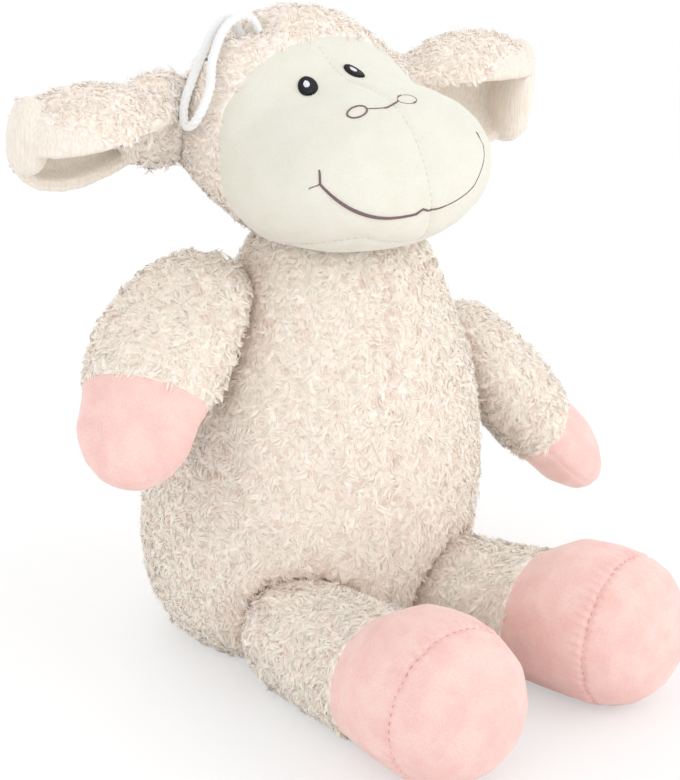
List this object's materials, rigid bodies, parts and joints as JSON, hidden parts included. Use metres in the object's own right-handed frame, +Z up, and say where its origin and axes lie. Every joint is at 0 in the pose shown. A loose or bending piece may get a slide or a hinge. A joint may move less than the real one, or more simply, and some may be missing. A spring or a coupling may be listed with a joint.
{
  "type": "plush sheep",
  "caption": "Seated plush sheep: cream curly pile, smooth face with stitched features, pink hands and feet, lined ears and a white hanging loop",
  "frame": {"origin": "middle of the flat seat, on the surface that the sheep sits on", "axes": "+Z up, -Y the way the torso faces, +X the sheep's own left side"},
  "size_m": [0.2445, 0.2164, 0.2387],
  "materials": {
    "fleece": "curly cream pile with peach-brown depths",
    "smooth_plush": "off-white short nap",
    "pink_plush": "soft pink short pile",
    "lining": "peach-cream short nap",
    "filling": "white fibre filling, not seen",
    "pellets": "bag of plastic pellets, not seen",
    "brown_thread": "mauve-brown stitching",
    "black_thread": "black satin stitching",
    "white_thread": "white stitching",
    "white_cord": "white twisted cord"
  },
  "bodies": {
    "torso": {"belly_panel_left": "fleece", "belly_panel_right": "fleece", "back_panel_left": "fleece", "back_panel_right": "fleece", "seat_panel": "fleece", "torso_filling": "filling", "pellet_bag": "pellets"},
    "neck": {"neck_stitching": "white_thread"},
    "head": {"crown_panel": "fleece", "nape_panel": "fleece", "chin_panel": "smooth_plush", "face_panel_left": "smooth_plush", "face_panel_right": "smooth_plush", "head_filling": "filling", "eye_left": "black_thread", "eye_right": "black_thread", "eye_highlight_left": "white_thread", "eye_highlight_right": "white_thread", "nostril_left": "brown_thread", "nostril_right": "brown_thread", "nose_line": "brown_thread", "mouth": "brown_thread", "hanging_loop": "white_cord"},
    "ear_right": {"ear_wool_right": "fleece", "ear_lining_right": "lining", "ear_gather_right": "fleece"},
    "arm_right": {"sleeve_inner_right": "fleece", "sleeve_outer_right": "fleece", "hand_inner_right": "pink_plush", "hand_outer_right": "pink_plush", "arm_filling_right": "filling"},
    "leg_right": {"leg_sleeve_top_right": "fleece", "leg_sleeve_under_right": "fleece", "foot_side_right": "pink_plush", "sole_right": "pink_plush", "leg_filling_right": "filling"},
    "ear_left": {"ear_wool_left": "fleece", "ear_lining_left": "lining", "ear_gather_left": "fleece"},
    "arm_left": {"sleeve_inner_left": "fleece", "sleeve_outer_left": "fleece", "hand_inner_left": "pink_plush", "hand_outer_left": "pink_plush", "arm_filling_left": "filling"},
    "leg_left": {"leg_sleeve_top_left": "fleece", "leg_sleeve_under_left": "fleece", "foot_side_left": "pink_plush", "sole_left": "pink_plush", "leg_filling_left": "filling"}
  },
  "joints": [
    {"name": "neck_turn", "type": "hinge", "parent": "torso", "child": "neck", "pos_m": [0.0055, -0.008, 0.13583], "axis": [0, 0, 1], "range_deg": [-50, 50], "stiffness_Nm_per_rad": 0.5},
    {"name": "head_nod", "type": "hinge", "parent": "neck", "child": "head", "pos_m": [0.0055, -0.008, 0.13583], "axis": [0.9925, 0.1219, 0], "range_deg": [-12, 10], "stiffness_Nm_per_rad": 0.5},
    {"name": "ear_flap_right", "type": "hinge", "parent": "head", "child": "ear_right", "pos_m": [-0.04184, 0.01825, 0.20316], "axis": [-0.1219, 0.9925, 0], "range_deg": [-35, 12], "stiffness_Nm_per_rad": 0.15},
    {"name": "ear_flap_left", "type": "hinge", "parent": "head", "child": "ear_left", "pos_m": [0.04303, 0.02869, 0.20764], "axis": [0.1219, -0.9925, 0], "range_deg": [-25, 40], "stiffness_Nm_per_rad": 0.15},
    {"name": "arm_swing_right", "type": "hinge", "parent": "torso", "child": "arm_right", "pos_m": [-0.03983, -0.004, 0.133], "axis": [-0.8829, 0, 0.4695], "range_deg": [-25, 85], "stiffness_Nm_per_rad": 0.3},
    {"name": "arm_swing_left", "type": "hinge", "parent": "torso", "child": "arm_left", "pos_m": [0.06297, 0.002, 0.097], "axis": [-0.9945, 0, -0.1045], "range_deg": [-25, 80], "stiffness_Nm_per_rad": 0.3},
    {"name": "leg_splay_right", "type": "hinge", "parent": "torso", "child": "leg_right", "pos_m": [-0.032, -0.04717, 0], "axis": [0, 0, -1], "range_deg": [-4, 40], "stiffness_Nm_per_rad": 0.3},
    {"name": "leg_splay_left", "type": "hinge", "parent": "torso", "child": "leg_left", "pos_m": [0.032, -0.03717, 0], "axis": [0, 0, 1], "range_deg": [-8, 28], "stiffness_Nm_per_rad": 0.3}
  ]
}
